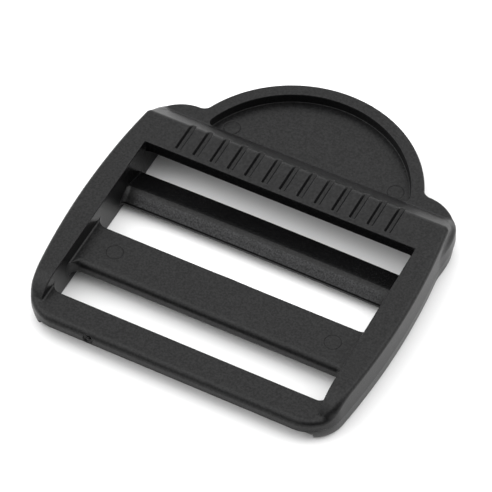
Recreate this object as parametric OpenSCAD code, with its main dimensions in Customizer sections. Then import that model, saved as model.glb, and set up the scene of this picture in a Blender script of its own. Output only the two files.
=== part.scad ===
/* [Webbing] */
// Clear width between the two rails, a little over the webbing's own width
slot_w = 41; // [37:0.5:48]

/* [Body] */
// Front edge to the back of the thumb tab
body_len = 53; // [50:0.1:58]
// Height of the grip bar and of the rails beside it
body_h = 6.9; // [6:0.1:8]
// Width of each rail at the middle of its length
rail_w = 3.5; // [3:0.05:5]
// Radius of the bowed outer side
side_r = 108; // [90:1:160]
// Distance of the widest place from the front edge
side_mid = 20.35; // [16:0.05:24]
// Radius of the two front corners, seen from above
corner_r = 4.15; // [3:0.05:5]

/* [Rail nose] */
// Height of the rail where its nose starts to curve down
nose_top = 6.41; // [6:0.01:6.5]
// Radius of the nose
nose_r = 5.4; // [5:0.1:6]
// Distance from the front edge to where the nose starts
nose_start = 6.25; // [6:0.05:7]
// Radius under the front of each rail
foot_r = 2.4; // [0.5:0.1:3]

/* [Front and middle bars] */
// Upper face of the front and middle bars
bar_top = 4.2; // [3.8:0.05:4.6]
// Lower face of the front bar, raised so that webbing can pass under it
front_bar_low = 1.9; // [1:0.1:2.4]
// Depth of the front bar, front to back
front_bar_d = 4.25; // [3.5:0.05:5]
// Lower face of the middle bar
middle_bar_low = 2.1; // [1:0.1:2.4]
// Distance from the front edge to the middle bar
middle_bar_y = 9.9; // [9.3:0.05:10.5]
// Depth of the middle bar, front to back
middle_bar_d = 6.95; // [6:0.05:7.2]
// Radius along the edges of both bars
bar_edge_r = 0.6; // [0.2:0.05:0.9]
// Radius in plan where a bar meets a rail
slot_corner_r = 1.3; // [0.5:0.1:1.6]

/* [Locking bar] */
// Distance from the front edge to the lip under the biting face
lock_front = 23.65; // [23.2:0.05:24]
// Distance from the front edge to where the biting face meets the crest
lock_crest = 25.2; // [24.8:0.05:25.7]
// Distance from the front edge to the back of the crest
lock_ridge = 25.95; // [25.8:0.05:26.8]
// Distance from the front edge to the back of the bar
lock_back = 29.55; // [28.5:0.05:30.4]
// Lower edge of the lip, clear of the ground
lock_low = 1.15; // [0.9:0.05:1.4]
// Lowest face of the bar, behind the lip
lock_belly = 0.6; // [0.3:0.05:0.85]
// Height of the lip's top edge
lock_lip_h = 1.7; // [1.5:0.05:2]
// Height of the crest
lock_ridge_h = 2.8; // [2.5:0.05:3.4]
// Height of the back of the bar
lock_back_h = 1.8; // [1.5:0.05:2.4]

/* [Grip bar] */
// Distance from the front edge to the grip bar's upright front face
grip_front = 30.85; // [30.6:0.05:31.4]
// Depth of the grip bar's flat top
grip_top_d = 5.25; // [4.5:0.05:6]
// Thickness of the grip bar
grip_t = 2.0; // [1.6:0.1:2.4]
// Distance from the flat top to the foot of the bevel behind it
bevel_d = 3.2; // [2.4:0.05:3.6]
// Number of finger grooves
groove_n = 13; // [9:2:13]
// Distance from one groove to the next
groove_pitch = 2.65; // [2.4:0.05:2.8]
// Width of a groove at the top
groove_w = 1.0; // [0.7:0.05:1.2]
// Width of a groove's floor
groove_floor_w = 0.5; // [0.3:0.05:0.65]
// Depth of a groove
groove_depth = 0.5; // [0.2:0.05:0.6]
// Plain strip in front of the grooves
groove_margin = 0.9; // [0.5:0.05:1.5]

/* [Thumb tab] */
// Radius of the round tab
tab_r = 17.85; // [16:0.05:18.4]
// Upper face of the tab's rim and of the two ears
tab_top = 4.63; // [4.2:0.01:5]
// Lower face of the tab, above the webbing that leaves under it
tab_low = 2.0; // [1.5:0.1:2.4]
// Width of the raised rim
rim_w = 1.75; // [1.4:0.05:2.4]
// Floor of the sunken thumb rest
pocket_floor = 3.1; // [2.9:0.05:3.6]
// Radius of the thumb rest's two corners
pocket_corner_r = 1.2; // [0.6:0.1:1.6]
// Radius of the ear at each end of the grip bar
ear_r = 5.8; // [5.6:0.05:6]
// How far an ear's centre lies inside the slot's end wall
ear_inset = 2.9; // [2.7:0.05:3]
// How far an ear's centre lies behind the tab's centre
ear_behind = 0.5; // [0:0.1:1]
// Radius of the hollow where an ear meets the tab
hollow_r = 0.8; // [0.5:0.1:1.2]

/* [Hidden] */
$fn = 96;
eps = 0.01;
half_slot = slot_w / 2;
half_w = half_slot + rail_w;
tab_y = body_len - tab_r;
ear_x = half_slot - ear_inset;
ear_y = tab_y + ear_behind;
grip_back = grip_front + grip_top_d;
bevel_foot = grip_back + bevel_d;
belly_inset = 1.2;
grip_low = body_h - grip_t;
// Corner under the bar, placed so that the bevel is about as thick as the bar
grip_low_back = grip_back - grip_t * tan(atan2(body_h - tab_top, bevel_d) / 2);
// Centre of a front corner: it touches the front edge and the bowed side from inside
corner_x = half_w - side_r + sqrt(pow(side_r - corner_r, 2) - pow(side_mid - corner_r, 2));

module mirrored() {
    children();
    mirror([1, 0, 0]) children();
}

// Lays a front-to-back section, drawn as [distance, height], across the part
module across(width) {
    translate([-width / 2, 0, 0]) rotate([90, 0, 90]) linear_extrude(width) children();
}

module bowed_sides() {
    intersection() {
        translate([half_w - side_r, side_mid]) circle(side_r, $fn = 360);
        translate([side_r - half_w, side_mid]) circle(side_r, $fn = 360);
        translate([-half_w, 0]) square([2 * half_w, bevel_foot]);
    }
}

module front_corner_waste() {
    reach = corner_r + 2;
    difference() {
        translate([corner_x, corner_r - reach]) square(reach);
        translate([corner_x, corner_r]) circle(corner_r);
    }
}

// Outline of the rails and the front edge, seen from above
module frame_outline() {
    difference() {
        bowed_sides();
        mirrored() front_corner_waste();
    }
}

// Solid fillet between the ear and the tab, tangent to both circles
module ear_hollow() {
    tab_to_hollow = tab_r + hollow_r;
    ear_to_hollow = ear_r + hollow_r;
    gap = norm([ear_x, ear_behind]);
    along = (pow(tab_to_hollow, 2) - pow(ear_to_hollow, 2) + pow(gap, 2)) / (2 * gap);
    off = sqrt(pow(tab_to_hollow, 2) - pow(along, 2));
    hollow_x = (ear_x * along - ear_behind * off) / gap;
    hollow_y = tab_y + (ear_behind * along + ear_x * off) / gap;
    difference() {
        polygon([[0, tab_y], [ear_x, ear_y], [hollow_x, hollow_y]]);
        translate([hollow_x, hollow_y]) circle(hollow_r);
    }
}

module ear_outline() {
    translate([ear_x, ear_y]) circle(ear_r);
}

module tab_outline() {
    translate([0, tab_y]) circle(tab_r, $fn = 180);
    mirrored() ear_outline();
    mirrored() ear_hollow();
}

// Side view of a rail: curved nose, sloping top, bevel down to the ear
module rail_section() {
    difference() {
        union() {
            polygon([
                [nose_start, 0], [nose_start, nose_top], [grip_front, body_h],
                [grip_back, body_h], [bevel_foot, tab_top], [bevel_foot, 0]
            ]);
            square([nose_start, bar_top]);
            intersection() {
                translate([nose_start, nose_top - nose_r]) circle(nose_r);
                square([nose_start, nose_top]);
            }
        }
        difference() {
            translate([-eps, -eps]) square(foot_r);
            translate([foot_r, foot_r]) circle(foot_r);
        }
    }
}

module rails() {
    difference() {
        intersection() {
            linear_extrude(body_h) frame_outline();
            across(2 * half_w) rail_section();
        }
        translate([-half_slot, -eps, -eps]) cube([slot_w, body_len, body_h + 1]);
    }
}

module rounded_bar_section(depth, low) {
    height = bar_top - low;
    translate([bar_edge_r, low]) square([depth - 2 * bar_edge_r, height]);
    translate([0, low + bar_edge_r]) square([depth, height - 2 * bar_edge_r]);
    for (y = [bar_edge_r, depth - bar_edge_r], z = [low + bar_edge_r, bar_top - bar_edge_r])
        translate([y, z]) circle(bar_edge_r);
}

// Solid fillet in the corner between a bar and a rail, on the side that faces along dir
module slot_corner(y, dir, low) {
    reach = slot_corner_r + bar_edge_r;
    start = dir > 0 ? -bar_edge_r : -slot_corner_r;
    mirrored() translate([half_slot - slot_corner_r, y, low]) linear_extrude(bar_top - low) difference() {
        translate([0, start]) square([slot_corner_r + eps, reach]);
        translate([0, dir * slot_corner_r]) circle(slot_corner_r);
    }
}

module front_bar() {
    intersection() {
        across(slot_w + 2 * eps) rounded_bar_section(front_bar_d, front_bar_low);
        linear_extrude(body_h) frame_outline();
    }
    slot_corner(front_bar_d, 1, front_bar_low);
}

module middle_bar() {
    translate([0, middle_bar_y, 0]) across(slot_w + 2 * eps)
        rounded_bar_section(middle_bar_d, middle_bar_low);
    slot_corner(middle_bar_y, -1, middle_bar_low);
    slot_corner(middle_bar_y + middle_bar_d, 1, middle_bar_low);
}

// Bar that bites the webbing when the tab is let go
module locking_bar() {
    across(slot_w + 2 * eps) polygon([
        [lock_front, lock_low], [lock_front, lock_lip_h], [lock_crest, lock_ridge_h],
        [lock_ridge, lock_ridge_h], [lock_back, lock_back_h], [lock_back, lock_low],
        [lock_back - belly_inset, lock_belly], [lock_front + belly_inset, lock_belly]
    ]);
}

module grip_bar() {
    across(slot_w + 2 * eps) polygon([
        [grip_front, body_h], [grip_back, body_h], [bevel_foot, tab_top],
        [bevel_foot, tab_low], [grip_low_back, grip_low], [grip_front, grip_low]
    ]);
}

// Tab and ears: the ears reach the ground outside the webbing's path, which runs on under the tab
module tab_plate() {
    difference() {
        linear_extrude(tab_top) tab_outline();
        translate([-half_slot, 0, -eps]) cube([slot_w, bevel_foot - eps, body_h]);
        translate([-half_slot, 0, -eps]) cube([slot_w, body_len + 1, tab_low + eps]);
    }
}

module thumb_rest() {
    pocket_r = tab_r - rim_w;
    flat = bevel_foot - tab_y;
    round_y = flat + pocket_corner_r;
    round_x = sqrt(pow(pocket_r - pocket_corner_r, 2) - pow(round_y, 2));
    translate([0, tab_y, pocket_floor]) linear_extrude(body_h) {
        intersection() {
            circle(pocket_r, $fn = 180);
            translate([-pocket_r, round_y]) square([2 * pocket_r, pocket_r]);
        }
        translate([-round_x, flat]) square([2 * round_x, pocket_corner_r + eps]);
        mirrored() translate([round_x, round_y]) circle(pocket_corner_r);
    }
}

module finger_grooves() {
    side_run = (groove_w - groove_floor_w) / 2;
    groove_len = grip_top_d - groove_margin + bevel_d;
    for (i = [0 : groove_n - 1])
        translate([(i - (groove_n - 1) / 2) * groove_pitch, grip_front + groove_margin + groove_len, 0])
            rotate([90, 0, 0]) linear_extrude(groove_len) polygon([
                [-groove_floor_w / 2, body_h - groove_depth], [groove_floor_w / 2, body_h - groove_depth],
                [groove_w / 2, body_h], [groove_w / 2, body_h + 1],
                [-groove_w / 2, body_h + 1], [-groove_w / 2, body_h]
            ]);
}

module slider_body() {
    color("#2c2c2e") translate([0, -body_len / 2, 0]) difference() {
        union() {
            rails();
            front_bar();
            middle_bar();
            locking_bar();
            grip_bar();
            tab_plate();
        }
        thumb_rest();
        finger_grooves();
    }
}

slider_body();
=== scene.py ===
import math

import bpy
import numpy as np
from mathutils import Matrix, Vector


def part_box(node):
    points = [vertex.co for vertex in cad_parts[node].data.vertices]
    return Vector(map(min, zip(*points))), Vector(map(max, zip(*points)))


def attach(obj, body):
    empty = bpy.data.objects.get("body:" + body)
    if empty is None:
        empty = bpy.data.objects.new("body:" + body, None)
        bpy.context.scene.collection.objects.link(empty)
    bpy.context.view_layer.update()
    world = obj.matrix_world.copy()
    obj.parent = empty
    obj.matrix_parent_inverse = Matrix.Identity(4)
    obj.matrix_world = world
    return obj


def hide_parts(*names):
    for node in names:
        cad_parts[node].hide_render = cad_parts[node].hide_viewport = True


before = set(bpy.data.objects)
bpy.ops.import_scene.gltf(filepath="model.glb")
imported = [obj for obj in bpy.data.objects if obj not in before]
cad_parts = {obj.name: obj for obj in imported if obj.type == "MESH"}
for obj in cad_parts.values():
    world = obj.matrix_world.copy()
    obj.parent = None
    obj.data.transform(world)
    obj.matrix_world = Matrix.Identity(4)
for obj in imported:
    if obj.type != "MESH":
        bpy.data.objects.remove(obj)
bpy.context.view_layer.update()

# Everything about the shape is in millimetres: x across the webbing, d back from the front edge, z up.
MM = 0.001
node_low, node_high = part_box("slider_body")
BODY_LEN = (node_high.y - node_low.y) / MM
BODY_H = node_high.z / MM
HALF_W = node_high.x / MM
FRONT_Y = node_low.y / MM

# ---------------------------------------------------------------- sizes, as in the CAD source
# Rails: width where the sides are widest, radius of their bow and where that is, and the front corners
RAIL_W = 3.5
HALF_SLOT = HALF_W - RAIL_W
SIDE_R, SIDE_MID = 108.0, 20.35
CORNER_R = 4.15
# The nose, which is the rails' front end from the side: its height, radius and back end
NOSE_TOP, NOSE_R, NOSE_START = 6.41, 5.4, 6.25
# Front and middle bars, with flat tops at one height, and the corners of the slots beside them
BAR_TOP = 4.2
FRONT_BAR_LOW, FRONT_BAR_BACK = 1.9, 4.25
MIDDLE_BAR_LOW, MIDDLE_BAR_FRONT, MIDDLE_BAR_BACK = 2.1, 9.9, 16.85
SLOT_CORNER_R = 1.3
# Locking bar from front to back: lip, front and back edge of the crest, back edge
LOCK_FRONT, LOCK_CREST, LOCK_RIDGE, LOCK_BACK = 23.65, 25.2, 25.95, 29.55
# Its heights: the lip's lower and upper edge, the crest, the back edge, and the lowest face with its inset
LOCK_LOW, LOCK_LIP_TOP, LOCK_RIDGE_H, LOCK_BACK_H = 1.15, 1.7, 2.8, 1.8
LOCK_BELLY, BELLY_INSET = 0.6, 1.2
# Grip bar, the bevel behind it and its finger grooves
GRIP_FRONT, GRIP_BACK, BEVEL_FOOT = 30.85, 36.1, 39.3
GRIP_T = 2.0
GROOVE_N, GROOVE_PITCH, GROOVE_W, GROOVE_FLOOR_W = 13, 2.65, 1.0, 0.5
GROOVE_DEPTH, GROOVE_MARGIN = 0.5, 0.9
# Round thumb tab with its rim and sunken thumb rest
TAB_R, TAB_TOP, TAB_LOW = 17.85, 4.63, 2.0
RIM_W, POCKET_FLOOR, POCKET_CORNER_R = 1.75, 3.1, 1.2
TAB_D = BODY_LEN - TAB_R
# Ears between the tab and the rails, and the hollow corner between ear and tab
EAR_R, EAR_X, EAR_D = 5.8, 17.6, TAB_D + 0.5
EAR_HOLLOW_R = 0.8
# The grip bar is as thick under its bevel
GRIP_LOW = BODY_H - GRIP_T
GRIP_LOW_BACK = GRIP_BACK - GRIP_T * math.tan(math.atan2(BODY_H - TAB_TOP, BEVEL_FOOT - GRIP_BACK) / 2)

# ---------------------------------------------------------------- what moulding adds to them
PARTING_Z = 2.5            # height of the line where the two mould halves meet
PARTING_STEP = 0.07        # the lower half is this much narrower at that line
DRAFT_UPPER = 0.10         # how far the outer walls flare from the top down to the parting line
DRAFT_LOWER = 0.26         # how far they draw in again from there to the ground
SWELL = 0.2                # rounded edges stand out this much, so that the outline keeps its size
SWELL_TAB = 0.1            # the same for the tab and the ears
SWELL_BACK = 0.1           # the same for the back edges of the bars
FOOT_INSET = 1.3           # how far the front corners curve under
FOOT_RISE = 2.2            # the height at which they start to
LOCK_BOW = 0.25            # the locking bar's middle stands this much higher than its ends
LIP_PROUD = 0.03           # the lip stands out this much in front of the biting face
SHUT_OFF_STEP = 0.06       # the end walls step out this much behind the grip bar's face

# Radii of the upper edges
EDGE_FRONT_R = 0.95        # front edge of the front bar
EDGE_NOSE_R = 0.8          # round the two front corners
EDGE_RAIL_R = 0.62         # outer edge along the top of the rails
EDGE_BAR_R = 0.95          # front edge of the middle bar
EDGE_BACK_R = 0.3          # back edges of the front and middle bars
EDGE_TAB_R = 0.28          # round the tab and the ears
EDGE_FINE_R = 0.15         # crisp edges inside the slots and round the thumb rest
EDGE_BEVEL_R = 0.2         # between the grip bar's top and its bevel
RAIL_END_R = 1.5           # the rails' back corners from above
RAIL_END_INSET = 0.2       # how far in front of the bevel's foot the rails end
# Radii of the lower edges
EDGE_FRONT_LOW_R = 0.6     # the front bar
EDGE_BAR_LOW_R = 0.3       # the middle bar, grip bar and tab
EDGE_GROUND_R = 0.25       # at the ground
# Radii of the hollow corners
CREASE_R = 0.25            # where a bar's top meets a rail
UNDER_R = 0.6              # under the front and middle bars, where they meet the rails' feet
UNDER_BACK_R = 0.2         # the same behind them
UNDER_TAB_R = 0.5          # under the grip bar and its bevel
INNER_CORNER_R = 0.2       # where the grip bar's face meets the rails
BEVEL_BLEND_R = 0.5        # where the bevel meets the tab's rim
EAR_BLEND_R = 1.2          # where an ear's top meets the rail's outer wall
POCKET_FLOOR_R = 0.06      # round the floor of the thumb rest
# Radii on the locking bar
CREST_R, RIDGE_R = 0.5, 0.2            # front and back edges of its crest
LIP_R, LOCK_BACK_R = 0.04, 0.15        # front and back of the bar
LOCK_LOW_R = 0.12                      # its lower edges
HOLD_R, HOLD_EXTRA_R = 0.25, 0.45      # where it meets the rails, and what its front adds to that
# Radii of the finger grooves: along the floor, at the closed end and along the top
GROOVE_FLOOR_R, GROOVE_END_R, GROOVE_EDGE_R = 0.05, 0.08, 0.06

# Places between which a radius changes
NOSE_ACROSS = (HALF_SLOT - 3.2, HALF_SLOT + 0.5)       # the front bar's edge to the corners' edge
NOSE_ALONG = (2.5, 8.0)                                # the corners' edge to the rails' edge
SLOT_END = (HALF_SLOT - SLOT_CORNER_R, HALF_SLOT - 0.1)    # a bar's edge fades out at its ends
FOOT_UP = (0.8, 1.6)                                   # the ground's edge to a bar's lower edge
NEAR_RAIL = (0.1, 1.0)                                 # a bar's lower edge fades out beside a rail
EAR_ACROSS = (HALF_SLOT, HALF_SLOT + 2)                # the bevel's blend to the ear's blend
HOLD_ALONG = (LOCK_RIDGE - 0.6, LOCK_RIDGE + 0.4)      # the locking bar's front to its back
SHUT_OFF_ALONG = (GRIP_FRONT - 0.05, GRIP_FRONT + 0.05)    # the end walls step out here

# Helper places and values
FRONT_SLOT_D, MIDDLE_BAR_D, MIDDLE_SLOT_D = 7.0, 13.0, 20.0    # a place inside each
SLOT_PAST_END = 60.0                                   # far behind the whole part
LOCK_MID, LOCK_REACH, LOCK_RUN_IN = 27.5, 5.0, 1.0     # the block that the locking bar is cut from
NO_R = 1e-4                                            # a radius that counts as none
UNDER_STEEP = 0.999                                    # the front corners' curl never turns quite level

# Marks of the mould
EJECTOR_R, EJECTOR_DEPTH, EJECTOR_SOFT = 1.15, 0.05, 0.12
BAR_EJECTORS = ((-15.9, 13.7), (16.9, 13.6))       # marks on the middle bar
REST_EJECTORS = ((-12.6, 41.4), (12.65, 41.4))     # marks on the floor of the thumb rest
GATE_X, GATE_Z, GATE_R = -12.4, 3.1, 0.75          # dimple where the plastic was let in
GATE_FLATNESS, GATE_EDGE_R = 1.6, 0.08
NUB_SHARE, NUB_BACK = 0.4, 0.3         # the nub in it: size against the dimple, and how deep it sits

# ---------------------------------------------------------------- how the surface is sampled
GRID = 0.15                            # spacing of the grid
LOW_MARGIN = (0.76, 0.77, 0.47)        # the grid's room round the part, off the part's own planes
HIGH_MARGIN = (0.75, 0.7, 0.5)
SLAB = 16                              # grid layers worked out at a time
PROBE, NORMAL_PROBE = 0.01, 0.03       # half widths over which a slope and a normal are taken
LEAST_SLOPE = 0.3                      # the field's squared slope counts as at least this


def fillet(a, b, r):
    """Union of two solids, with a concave fillet of radius r where they meet."""
    return np.maximum(r, np.minimum(a, b)) - np.hypot(np.maximum(r - a, 0), np.maximum(r - b, 0))


def rounded(a, b, r):
    """What two solids share, with the edge between them rounded to radius r."""
    return np.minimum(-r, np.maximum(a, b)) + np.hypot(np.maximum(r + a, 0), np.maximum(r + b, 0))


def step(v, low, high):
    """0 below low, 1 above high, smooth between."""
    t = np.clip((v - low) / (high - low), 0, 1)
    return t * t * (3 - 2 * t)


def side_of(d, z, p, q):
    """Distance from the line through (d, z) points p and q, positive to its left going from p to q."""
    nd, nz = -(q[1] - p[1]), q[0] - p[0]
    size = math.hypot(nd, nz)
    return ((d - p[0]) * nd + (z - p[1]) * nz) / size


def slot_plan(ax, d, d0, d1):
    """Plan of a slot with round corners, from d0 to d1."""
    qx = ax - HALF_SLOT + SLOT_CORNER_R
    qd = np.abs(d - (d0 + d1) / 2) - (d1 - d0) / 2 + SLOT_CORNER_R
    straight = np.minimum(np.maximum(qx, qd), 0)
    return np.hypot(np.maximum(qx, 0), np.maximum(qd, 0)) + straight - SLOT_CORNER_R


def ejector_dip(x, d, marks):
    """How deep the ejector pins' marks are at a place."""
    dip = 0
    for mx, md in marks:
        away = np.hypot(x - mx, d - md)
        dip = dip + EJECTOR_DEPTH * (1 - step(away, EJECTOR_R - EJECTOR_SOFT, EJECTOR_R + EJECTOR_SOFT))
    return dip


def flare(z):
    """Draft of the outer walls, with the small mismatch of the two mould halves at the parting line."""
    upper = DRAFT_UPPER * np.clip((BODY_H - z) / (BODY_H - PARTING_Z), 0, 1)
    lower = DRAFT_UPPER - PARTING_STEP - DRAFT_LOWER * np.clip((PARTING_Z - z) / PARTING_Z, 0, 1)
    return np.where(z > PARTING_Z, upper, lower)


def rail_top(d, z):
    """Rails and grip bar seen from the side: nose, gentle rise, flat top, bevel."""
    slope = (BODY_H - NOSE_TOP) / (GRIP_FRONT - NOSE_START)
    nose = np.hypot(d - NOSE_START, z - NOSE_TOP + NOSE_R) - NOSE_R
    top = np.where(d < NOSE_START, nose, z - np.minimum(NOSE_TOP + slope * (d - NOSE_START), BODY_H))
    return rounded(top, side_of(d, z, (GRIP_BACK, BODY_H), (BEVEL_FOOT, TAB_TOP)), EDGE_BEVEL_R)


def outer_walls(ax, d, z):
    """Bowed sides and round front corners, which curve under at the feet."""
    curl = np.clip(1 - z / FOOT_RISE, 0, 1) ** 2 * UNDER_STEEP
    under = FOOT_INSET * (1 - np.sqrt(1 - curl))
    side = np.hypot(ax - (HALF_W - SIDE_R), d - SIDE_MID) - SIDE_R - flare(z) - SWELL
    front = rounded(side, under - SWELL - d, CORNER_R)
    return rounded(front, d - BEVEL_FOOT + RAIL_END_INSET, RAIL_END_R)


def rails_and_bars(x, ax, d, z, inner):
    """One block: rails and grip bar round the inner space, which is filled up to the bars' tops."""
    bar_top = z - BAR_TOP + ejector_dip(x, d, BAR_EJECTORS)
    upper = fillet(rounded(rail_top(d, z), inner, EDGE_FINE_R), bar_top, CREASE_R)
    edge = EDGE_FRONT_R + (EDGE_NOSE_R - EDGE_FRONT_R) * step(ax, *NOSE_ACROSS)
    edge = edge + (EDGE_RAIL_R - edge) * step(d, *NOSE_ALONG)
    return rounded(upper, outer_walls(ax, d, z), edge)


def tab_and_ears(x, ax, d, z):
    """Flat plate of the round tab and the two ears."""
    tab = np.hypot(x, d - TAB_D) - TAB_R - flare(z) - SWELL_TAB
    ear = np.hypot(ax - EAR_X, d - EAR_D) - EAR_R - flare(z) - SWELL_TAB
    return rounded(fillet(tab, ear, EAR_HOLLOW_R), z - TAB_TOP, EDGE_TAB_R)


def underside(ax, d, z):
    """Rails that reach the ground, with the bars, grip bar and tab clear of it between them."""
    behind = step(d, *SHUT_OFF_ALONG)
    foot = rounded(-z, HALF_SLOT + SHUT_OFF_STEP * behind - ax, EDGE_GROUND_R)
    bars = np.where(d < FRONT_SLOT_D, FRONT_BAR_LOW, MIDDLE_BAR_LOW) - z
    slant = side_of(d, z, (BEVEL_FOOT, TAB_LOW), (GRIP_LOW_BACK, GRIP_LOW))
    back = rounded(TAB_LOW - z, fillet(GRIP_LOW - z, slant, UNDER_TAB_R), UNDER_TAB_R)
    ahead = d < MIDDLE_SLOT_D
    return fillet(foot, np.where(ahead, bars, back), np.where(ahead, UNDER_R, UNDER_BACK_R))


def cut_slots(body, ax, d, z, inner):
    """Opens the slots between the bars, and hollows the underside."""
    slot_1 = slot_plan(ax, d, FRONT_BAR_BACK + SWELL_BACK, MIDDLE_BAR_FRONT)
    slot_2 = slot_plan(ax, d, MIDDLE_BAR_BACK + SWELL_BACK, MIDDLE_BAR_BACK + SLOT_PAST_END)
    edge = np.where((d > FRONT_SLOT_D) & (d < MIDDLE_BAR_D), EDGE_BAR_R, EDGE_BACK_R)
    edge = edge * (1 - step(ax, *SLOT_END)) * (d < MIDDLE_SLOT_D) + NO_R
    body = rounded(body, np.where(d > MIDDLE_SLOT_D, inner, -np.minimum(slot_1, slot_2)), edge)
    edge = np.where(d < FRONT_SLOT_D, EDGE_FRONT_LOW_R, EDGE_BAR_LOW_R)
    edge = EDGE_GROUND_R + (edge - EDGE_GROUND_R) * step(z, *FOOT_UP)
    edge = edge * step(np.abs(ax - HALF_SLOT), *NEAR_RAIL) + NO_R
    return rounded(body, underside(ax, d, z), edge)


def locking_bar(ax, d, z):
    """Raised bar with an upright lip, a slanted biting face and a soft crest, bowed up a little."""
    z = z - LOCK_BOW * (1 - np.clip(ax / HALF_SLOT, 0, 1) ** 2)
    back = side_of(d, z, (LOCK_RIDGE, LOCK_RIDGE_H), (LOCK_BACK, LOCK_BACK_H))
    face = side_of(d, z, (LOCK_FRONT, LOCK_LIP_TOP), (LOCK_CREST, LOCK_RIDGE_H))
    wedge = rounded(rounded(face, z - LOCK_RIDGE_H, CREST_R), back, RIDGE_R)
    wedge = rounded(wedge, LOCK_FRONT - LIP_PROUD - d, LIP_R)
    wedge = rounded(wedge, d - LOCK_BACK, LOCK_BACK_R)
    hold = HOLD_R + HOLD_EXTRA_R * (1 - step(d, *HOLD_ALONG))
    wedge = fillet(wedge, HALF_SLOT - ax, hold)
    front_low = side_of(d, z, (LOCK_FRONT + BELLY_INSET, LOCK_BELLY), (LOCK_FRONT, LOCK_LOW))
    back_low = side_of(d, z, (LOCK_BACK, LOCK_LOW), (LOCK_BACK - BELLY_INSET, LOCK_BELLY))
    wedge = rounded(wedge, np.maximum(front_low, np.maximum(back_low, LOCK_BELLY - z)), LOCK_LOW_R)
    block = np.maximum(z - BAR_TOP, np.abs(d - LOCK_MID) - LOCK_REACH)
    return np.maximum(wedge, np.maximum(ax - HALF_SLOT - LOCK_RUN_IN, block))


def cut_thumb_rest(body, x, d, z):
    """Sinks the thumb rest into the tab, inside its rim."""
    rest = rounded(np.hypot(x, d - TAB_D) - TAB_R + RIM_W, BEVEL_FOOT - d, POCKET_CORNER_R)
    rest = rounded(rest, POCKET_FLOOR - ejector_dip(x, d, REST_EJECTORS) - z, POCKET_FLOOR_R)
    return rounded(body, -rest, EDGE_FINE_R)


def cut_grooves(body, x, d, z):
    """Cuts the finger grooves across the grip bar, open at the back through the bevel."""
    near = x - GROOVE_PITCH * np.clip(np.round(x / GROOVE_PITCH), -(GROOVE_N // 2), GROOVE_N // 2)
    run = (GROOVE_W - GROOVE_FLOOR_W) / 2
    flank = (np.abs(near) - GROOVE_FLOOR_W / 2) * GROOVE_DEPTH - (z - BODY_H + GROOVE_DEPTH) * run
    flank = flank / math.hypot(GROOVE_DEPTH, run)
    groove = rounded(flank, BODY_H - GROOVE_DEPTH - z, GROOVE_FLOOR_R)
    groove = rounded(groove, GRIP_FRONT + GROOVE_MARGIN - d, GROOVE_END_R)
    return rounded(body, -groove, GROOVE_EDGE_R)


def mark_gate(body, x, d, z):
    """Adds what is left of the gate on the front wall: a dimple with a nub in it."""
    away = np.hypot(x - GATE_X, z - GATE_Z)
    dimple = np.hypot(away, (d + SWELL) * GATE_FLATNESS) - GATE_R
    nub = np.hypot(away, d + SWELL - NUB_BACK) - NUB_SHARE * GATE_R
    return np.minimum(rounded(body, -dimple, GATE_EDGE_R), nub)


def solid(x, d, z):
    """Signed distance to the slider's surface, about true near it: negative inside."""
    ax = np.abs(x)
    inner = fillet(GRIP_FRONT - d, HALF_SLOT - ax, INNER_CORNER_R)
    blend = BEVEL_BLEND_R + (EAR_BLEND_R - BEVEL_BLEND_R) * step(ax, *EAR_ACROSS)
    body = fillet(rails_and_bars(x, ax, d, z, inner), tab_and_ears(x, ax, d, z), blend)
    body = cut_slots(body, ax, d, z, inner)
    body = np.minimum(body, locking_bar(ax, d, z))
    body = cut_thumb_rest(body, x, d, z)
    body = cut_grooves(body, x, d, z)
    return mark_gate(body, x, d, z)


def sample_grid():
    """Signed distance on a regular grid round the whole part, slab by slab."""
    low = np.array([-HALF_W, 0, 0]) - LOW_MARGIN
    high = np.array([HALF_W, BODY_LEN, BODY_H]) + HIGH_MARGIN
    count = np.ceil((high - low) / GRID).astype(int) + 1
    axes = [(low[i] + GRID * np.arange(count[i])).astype(np.float32) for i in range(3)]
    values = np.empty(count, np.float32)
    for i in range(0, count[0], SLAB):
        x, d, z = np.meshgrid(axes[0][i:i + SLAB], axes[1], axes[2], indexing="ij")
        values[i:i + SLAB] = solid(x, d, z)
    return axes, values


def net(axes, values):
    """Surface net: one vertex in each cell the surface crosses, one quad for each grid edge it crosses."""
    inside = values < 0
    cells = np.array(values.shape) - 1
    sums, owner, quads = [], [], []
    for axis in range(3):
        a = [slice(None)] * 3
        b = [slice(None)] * 3
        a[axis], b[axis] = slice(0, -1), slice(1, None)
        a, b = tuple(a), tuple(b)
        crossed = np.argwhere(inside[a] != inside[b])
        i, j, k = crossed.T
        u, v = (axis + 1) % 3, (axis + 2) % 3
        f0 = values[a][i, j, k].astype(float)
        f1 = values[b][i, j, k].astype(float)
        t = f0 / (f0 - f1)
        point = np.stack([axes[n][crossed[:, n]] for n in range(3)], 1).astype(float)
        point[:, axis] += t * GRID
        # The four cells round the grid edge, in turning order
        ring = []
        for du, dv in ((-1, -1), (0, -1), (0, 0), (-1, 0)):
            c = crossed.copy()
            c[:, u] += du
            c[:, v] += dv
            ring.append((c[:, 0] * cells[1] + c[:, 1]) * cells[2] + c[:, 2])
        ring = np.stack(ring, 1)
        for n in range(4):
            owner.append(ring[:, n])
            sums.append(point)
        flip = ~inside[a][i, j, k]
        ring[flip] = ring[flip][:, ::-1]
        quads.append(ring)
    owner, sums, quads = np.concatenate(owner), np.concatenate(sums), np.concatenate(quads)
    used, where = np.unique(owner, return_inverse=True)
    weight = np.bincount(where)
    verts = np.stack([np.bincount(where, sums[:, n]) / weight for n in range(3)], 1)
    return verts, np.searchsorted(used, quads)


def gradient(p, h):
    """Slope of the signed distance, taken over h to each side."""
    g = np.empty_like(p)
    for n in range(3):
        e = np.zeros(3)
        e[n] = h
        g[:, n] = solid(*(p + e).T) - solid(*(p - e).T)
    g /= 2 * h
    return g


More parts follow.
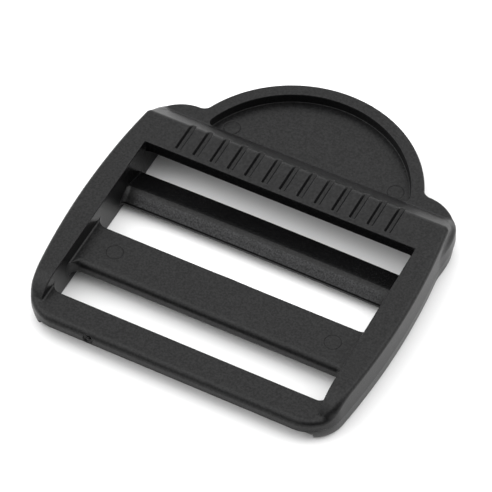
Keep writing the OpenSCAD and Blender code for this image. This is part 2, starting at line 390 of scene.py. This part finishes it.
def project(p, rounds):
    """Moves points onto the true surface."""
    for _ in range(rounds):
        g = gradient(p, PROBE)
        f = solid(*p.T)
        move = f / np.maximum((g * g).sum(1), LEAST_SLOPE)
        p = p - np.clip(move, -0.5 * GRID, 0.5 * GRID)[:, None] * g
    return p


def relax(p, quads, rounds):
    """Evens out the spacing along the surface."""
    a = quads.ravel()
    b = np.roll(quads, -1, 1).ravel()
    count = np.bincount(np.concatenate([a, b]), minlength=len(p))[:, None]
    for _ in range(rounds):
        total = [np.bincount(a, p[b, n], len(p)) + np.bincount(b, p[a, n], len(p)) for n in range(3)]
        p = project(p + 0.5 * (np.stack(total, 1) / count - p), 1)
    return p


def build_body():
    """The whole moulding as one closed mesh of quads, with the true surface's normals."""
    verts, quads = net(*sample_grid())
    verts = project(verts, 2)
    verts = relax(verts, quads, 2)
    verts = project(verts, 2)
    normals = gradient(verts, NORMAL_PROBE)
    normals /= np.linalg.norm(normals, axis=1)[:, None]
    mesh = bpy.data.meshes.new("slider_moulding")
    mesh.vertices.add(len(verts))
    mesh.vertices.foreach_set("co", ((verts + [0, FRONT_Y, 0]) * MM).astype(np.float32).ravel())
    mesh.loops.add(quads.size)
    mesh.loops.foreach_set("vertex_index", quads.astype(np.int32).ravel())
    mesh.polygons.add(len(quads))
    mesh.polygons.foreach_set("loop_start", np.arange(0, quads.size, 4, dtype=np.int32))
    mesh.polygons.foreach_set("use_smooth", np.ones(len(quads), bool))
    mesh.update(calc_edges=True)
    mesh.normals_split_custom_set_from_vertices(normals.astype(np.float32))
    piece = bpy.data.objects.new("slider_moulding", mesh)
    bpy.context.scene.collection.objects.link(piece)
    return piece


# ---------------------------------------------------------------- materials
PLASTIC = (0.0038, 0.0038, 0.004)
SHEEN_LEVEL = 0.22         # the grain's hollows hide part of the reflection
ROUGH = 0.31
BITE_ROUGH = 0.45          # roughness of the face that bites the webbing
POLISHED = 0.2             # roughness of the faces that close the back slot
BACK_SLOT_SHADE = -0.5      # painted shade: how much less the faces round the back slot reflect, for the shade inside it
GRAIN_PER_MM = 3.4         # fine spark-eroded grain on every face
GRAIN_H = 0.018            # its depth
BITE_PER_MM = 4.5          # coarser grain on the biting face
BITE_H = 0.03
BITE_GLINT = 6.0            # painted glint: how much paler the biting face's grain peaks are painted, for the light its coarse grain catches
FLOW_PER_MM = 0.09         # slow unevenness of the moulded faces
FLOW_H = 0.06
LINE_W = 0.05              # half width of the fine lines left by the mould
LINE_H = -0.04             # they are sunk this much
LINE_SHADE_TONE = -0.6           # painted shade in them: change of colour
LINE_SHADE_SHEEN = -0.8          # painted shade in them: change of reflection
RING_SHARE = 0.5           # how strong the ejector pins' rings are against the other lines
# How the noises act: the span of their values that counts, and what it does from hollow to tip
GRAIN_SPAN = (0.3, 0.7)
GRAIN_ROUGH = (ROUGH - 0.04, ROUGH + 0.05)
GRAIN_SHEEN = (0.75, 1.25)
SHADE_SPAN = (0.35, 0.7)   # the grain's span for its colour
GRAIN_TONE = (0.75, 1.3)
FLOW_SPAN = (0.3, 0.7)
FLOW_TONE = (0.92, 1.08)
FLOW_ROUGH = 0.05
BITE_SPAN = (0.35, 0.65)
# Where the marks lie, and how softly each area ends
BITE_INSET, BITE_SOFT = 0.1, 0.2                       # in from the biting face's front and back
BITE_HALF_W, BITE_END_SOFT = HALF_SLOT - 2.3, 0.8      # across it
INSIDE_HALF_W, INSIDE_FRONT, INSIDE_SOFT = HALF_SLOT + 0.6, 1.5, 0.3   # round the bars and slots
UPRIGHT, FACING_UP = (0.3, 0.5), (0.6, 0.8)            # how far the face's normal points up
FLOOR_WHITE = (0.85, 0.85, 0.85, 1)


def add(tree, kind, inputs=None, **settings):
    """New shader node with its settings, input values and links."""
    node = tree.nodes.new(kind)
    for name, value in settings.items():
        setattr(node, name, value)
    for name, value in (inputs or {}).items():
        if isinstance(value, bpy.types.NodeSocket):
            tree.links.new(value, node.inputs[name])
        else:
            node.inputs[name].default_value = value
    return node


def calc(tree, operation, a, b=0.0, c=0.0):
    """Result of one arithmetic node."""
    return add(tree, "ShaderNodeMath", {0: a, 1: b, 2: c}, operation=operation).outputs[0]


def ramp(tree, value, low, high, start=0.0, end=1.0):
    """start below low, end above high, smooth between."""
    inputs = {"Value": value, "From Min": low, "From Max": high, "To Min": start, "To Max": end}
    return add(tree, "ShaderNodeMapRange", inputs, interpolation_type="SMOOTHSTEP").outputs[0]


def near_value(tree, value, middle, half, soft):
    """1 within half of the middle value, 0 beyond half + soft, smooth between."""
    away = calc(tree, "ABSOLUTE", calc(tree, "SUBTRACT", value, middle))
    return ramp(tree, away, half, half + soft, 1.0, 0.0)


def between(tree, value, low, high, soft):
    """1 from low to high, 0 beyond them by soft."""
    return near_value(tree, value, (low + high) / 2, (high - low) / 2, soft)


def noise(tree, place, per_mm, detail, roughness):
    """Noise with this many waves to the millimetre."""
    inputs = {"Vector": place, "Scale": per_mm, "Detail": detail, "Roughness": roughness}
    return add(tree, "ShaderNodeTexNoise", inputs).outputs["Fac"]


def bite_mask(tree, x, d, lock_z):
    """1 on the locking bar's slanted front, clear of its crest and its ends."""
    mask = between(tree, d, LOCK_FRONT + BITE_INSET, LOCK_CREST - BITE_INSET, BITE_SOFT)
    mask = calc(tree, "MULTIPLY", mask, near_value(tree, x, 0.0, BITE_HALF_W, BITE_END_SOFT))
    return calc(tree, "MULTIPLY", mask, ramp(tree, lock_z, LOCK_LIP_TOP, LOCK_LIP_TOP + 0.1))


def shut_off_mask(tree, x, d):
    """1 on the faces that close the back slot, where their roughness drops and painted shade goes."""
    across = near_value(tree, x, 0.0, HALF_SLOT + 0.05, 0.05)
    return calc(tree, "MULTIPLY", across, between(tree, d, LOCK_RIDGE, GRIP_FRONT, 0.1))


def parting_line(tree, x, d, z, facing_up):
    """1 along the line where the mould halves meet, on the outer walls only."""
    upright = ramp(tree, calc(tree, "ABSOLUTE", facing_up), *UPRIGHT, 1.0, 0.0)
    inside = calc(tree, "MULTIPLY", near_value(tree, x, 0.0, INSIDE_HALF_W, INSIDE_SOFT),
                  between(tree, d, INSIDE_FRONT, GRIP_BACK, INSIDE_SOFT))
    outer = calc(tree, "MULTIPLY", upright, calc(tree, "SUBTRACT", 1.0, inside))
    return calc(tree, "MULTIPLY", near_value(tree, z, PARTING_Z, LINE_W, LINE_W), outer)


def lip_line(tree, d, lock_z):
    """1 along the upper edge of the locking bar's lip."""
    line = near_value(tree, lock_z, LOCK_LIP_TOP, LINE_W, LINE_W)
    return calc(tree, "MULTIPLY", line, near_value(tree, d, LOCK_FRONT, 0.25, 0.05))


def ejector_ring(tree, x, d, mark):
    """A ring round one ejector pin's mark."""
    across = calc(tree, "POWER", calc(tree, "SUBTRACT", x, mark[0]), 2.0)
    along = calc(tree, "POWER", calc(tree, "SUBTRACT", d, mark[1]), 2.0)
    away = calc(tree, "SQRT", calc(tree, "ADD", across, along))
    return calc(tree, "MULTIPLY", near_value(tree, away, EJECTOR_R, LINE_W, LINE_W), RING_SHARE)


def mould_lines(tree, x, d, z, lock_z, facing_up):
    """All the fine lines left by the mould."""
    lines = calc(tree, "MAXIMUM", parting_line(tree, x, d, z, facing_up), lip_line(tree, d, lock_z))
    on_top = ramp(tree, facing_up, *FACING_UP)
    for mark in BAR_EJECTORS + REST_EJECTORS:
        ring = calc(tree, "MULTIPLY", ejector_ring(tree, x, d, mark), on_top)
        lines = calc(tree, "MAXIMUM", lines, ring)
    return lines


def plastic():
    """Black moulded plastic: spark-eroded grain, a coarser biting face with painted glints on its grain
    peaks, the mould's own marks with painted shade in them, and painted shade on the faces that close the
    back slot.
    """
    m = bpy.data.materials.new("black_plastic")
    m.use_nodes = True
    tree = m.node_tree
    coords = add(tree, "ShaderNodeTexCoord").outputs
    place = {0: coords["Object"], "Scale": 1 / MM}
    place = add(tree, "ShaderNodeVectorMath", place, operation="SCALE").outputs[0]
    x, y, z = add(tree, "ShaderNodeSeparateXYZ", {0: place}).outputs
    d = calc(tree, "SUBTRACT", y, FRONT_Y)
    facing_up = add(tree, "ShaderNodeSeparateXYZ", {0: coords["Normal"]}).outputs[2]
    bow = calc(tree, "SUBTRACT", 1.0, calc(tree, "POWER", calc(tree, "DIVIDE", x, HALF_SLOT), 2.0))
    lock_z = calc(tree, "MULTIPLY_ADD", bow, -LOCK_BOW, z)

    fine = noise(tree, place, GRAIN_PER_MM, 4.0, 0.7)
    coarse = noise(tree, place, BITE_PER_MM, 3.0, 0.65)
    flow = noise(tree, place, FLOW_PER_MM, 2.0, 0.5)
    bite = bite_mask(tree, x, d, lock_z)
    shut_off = shut_off_mask(tree, x, d)
    lines = mould_lines(tree, x, d, z, lock_z, facing_up)

    height = calc(tree, "MULTIPLY", fine, GRAIN_H)
    height = calc(tree, "MULTIPLY_ADD", calc(tree, "MULTIPLY", coarse, bite), BITE_H, height)
    height = calc(tree, "MULTIPLY_ADD", flow, FLOW_H, height)
    height = calc(tree, "MULTIPLY_ADD", lines, LINE_H, height)
    bump = add(tree, "ShaderNodeBump", {"Height": height, "Distance": MM, "Strength": 1.0})

    # Fine grain peaks are a little paler and rougher than the hollows, and the mould's lines get painted
    # shade
    tone = ramp(tree, fine, *SHADE_SPAN, *GRAIN_TONE)
    tone = calc(tree, "MULTIPLY", tone, ramp(tree, flow, *FLOW_SPAN, *FLOW_TONE))
    # Painted glint: the biting face's grain peaks are painted paler, for the light its coarse grain
    # scatters
    bite_glints = calc(tree, "MULTIPLY", ramp(tree, coarse, *BITE_SPAN), bite)
    tone = calc(tree, "MULTIPLY_ADD", bite_glints, BITE_GLINT, tone)
    tone = calc(tree, "MULTIPLY", tone, calc(tree, "MULTIPLY_ADD", lines, LINE_SHADE_TONE, 1.0))
    colour = add(tree, "ShaderNodeVectorMath", {0: PLASTIC, "Scale": tone}, operation="SCALE")
    rough = ramp(tree, fine, *GRAIN_SPAN, *GRAIN_ROUGH)
    rough = calc(tree, "MULTIPLY_ADD", shut_off, POLISHED - ROUGH, rough)
    rough = calc(tree, "MULTIPLY_ADD", bite, BITE_ROUGH - ROUGH, rough)
    rough = calc(tree, "MULTIPLY_ADD", flow, FLOW_ROUGH, rough)
    # Painted shade: the mould's lines reflect less
    sheen = calc(tree, "MULTIPLY_ADD", lines, LINE_SHADE_SHEEN * SHEEN_LEVEL, SHEEN_LEVEL)
    # Painted shade on the faces that close the back slot: they reflect half as much
    sheen = calc(tree, "MULTIPLY", sheen, calc(tree, "MULTIPLY_ADD", shut_off, BACK_SLOT_SHADE, 1.0))
    sheen = calc(tree, "MULTIPLY", sheen, ramp(tree, fine, *GRAIN_SPAN, *GRAIN_SHEEN))
    bsdf = tree.nodes["Principled BSDF"]
    for name, value in (("Base Color", colour.outputs[0]), ("Roughness", rough),
                        ("Specular IOR Level", sheen), ("Normal", bump.outputs[0])):
        tree.links.new(value, bsdf.inputs[name])
    return m


def floor_material():
    """Plain white card."""
    m = bpy.data.materials.new("floor")
    m.use_nodes = True
    bsdf = m.node_tree.nodes["Principled BSDF"]
    bsdf.inputs["Base Color"].default_value = FLOOR_WHITE
    bsdf.inputs["Roughness"].default_value = 0.9
    bsdf.inputs["Specular IOR Level"].default_value = 0.0
    return m


# ---------------------------------------------------------------- scene, in metres and degrees
# Five broad soft lights round the part. The front right is left dark.
LIGHTS = (
    # azimuth from the front, elevation, how tight, how strong
    (302, 41, 5.7, 2.87),
    (118, 44, 5.3, 2.4),
    (332, 89, 7.5, 1.90),
    (179, 26, 5.0, 0.98),
    (236, 21, 3.4, 1.05),
)
FLOOR_HALF = 2.0
FLOOR_Z = -0.01 * MM       # just clear of the feet
VIEW_AZIMUTH, VIEW_ELEVATION = 27.464, 51.09
VIEW_DISTANCE = 0.4741
VIEW_TARGET = Vector((-0.0023, -0.00073, 0.0))
VIEW_LENS, SENSOR_W = 254.85, 36       # millimetres
CLIP_START, CLIP_END = 0.01, 20


def direction(azimuth, elevation):
    """Towards a place, from its azimuth (0 is the front, 90 the right) and its elevation in degrees."""
    azimuth, elevation = math.radians(azimuth), math.radians(elevation)
    level = math.cos(elevation)
    return Vector((math.sin(azimuth) * level, -math.cos(azimuth) * level, math.sin(elevation)))


def build_floor():
    """A wide flat floor under the part."""
    mesh = bpy.data.meshes.new("floor")
    signs = ((-1, -1), (1, -1), (1, 1), (-1, 1))
    mesh.from_pydata([(FLOOR_HALF * x, FLOOR_HALF * y, FLOOR_Z) for x, y in signs], [], [(0, 1, 2, 3)])
    mesh.materials.append(floor_material())
    floor = bpy.data.objects.new("floor", mesh)
    bpy.context.scene.collection.objects.link(floor)
    return floor


def build_camera():
    """A long lens that looks down on the part from its front right."""
    towards = direction(VIEW_AZIMUTH, VIEW_ELEVATION)
    camera = bpy.data.objects.new("camera", bpy.data.cameras.new("camera"))
    camera.data.lens = VIEW_LENS
    camera.data.sensor_width = SENSOR_W
    camera.data.clip_start, camera.data.clip_end = CLIP_START, CLIP_END
    camera.location = VIEW_TARGET + towards * VIEW_DISTANCE
    camera.rotation_mode = "QUATERNION"
    camera.rotation_quaternion = (-towards).to_track_quat("-Z", "Y")
    bpy.context.scene.collection.objects.link(camera)
    return camera


def studio():
    """World background in which each light is a soft round glow."""
    world = bpy.data.worlds.new("studio")
    world.use_nodes = True
    tree = world.node_tree
    looking = add(tree, "ShaderNodeTexCoord").outputs["Generated"]
    light = 0.0
    for azimuth, elevation, tightness, strength in LIGHTS:
        aim = {0: looking, 1: direction(azimuth, elevation)}
        dot = add(tree, "ShaderNodeVectorMath", aim, operation="DOT_PRODUCT").outputs["Value"]
        glow = calc(tree, "EXPONENT", calc(tree, "MULTIPLY_ADD", dot, tightness, -tightness))
        light = calc(tree, "MULTIPLY_ADD", glow, strength, light)
    background = tree.nodes["Background"]
    background.inputs["Color"].default_value = (1, 1, 1, 1)
    tree.links.new(light, background.inputs["Strength"])
    return world


body = build_body()
body.data.materials.append(plastic())
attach(body, "root")
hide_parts("slider_body")
build_floor()

scene = bpy.context.scene
scene.camera = build_camera()
scene.world = studio()
scene.view_settings.view_transform = "Standard"
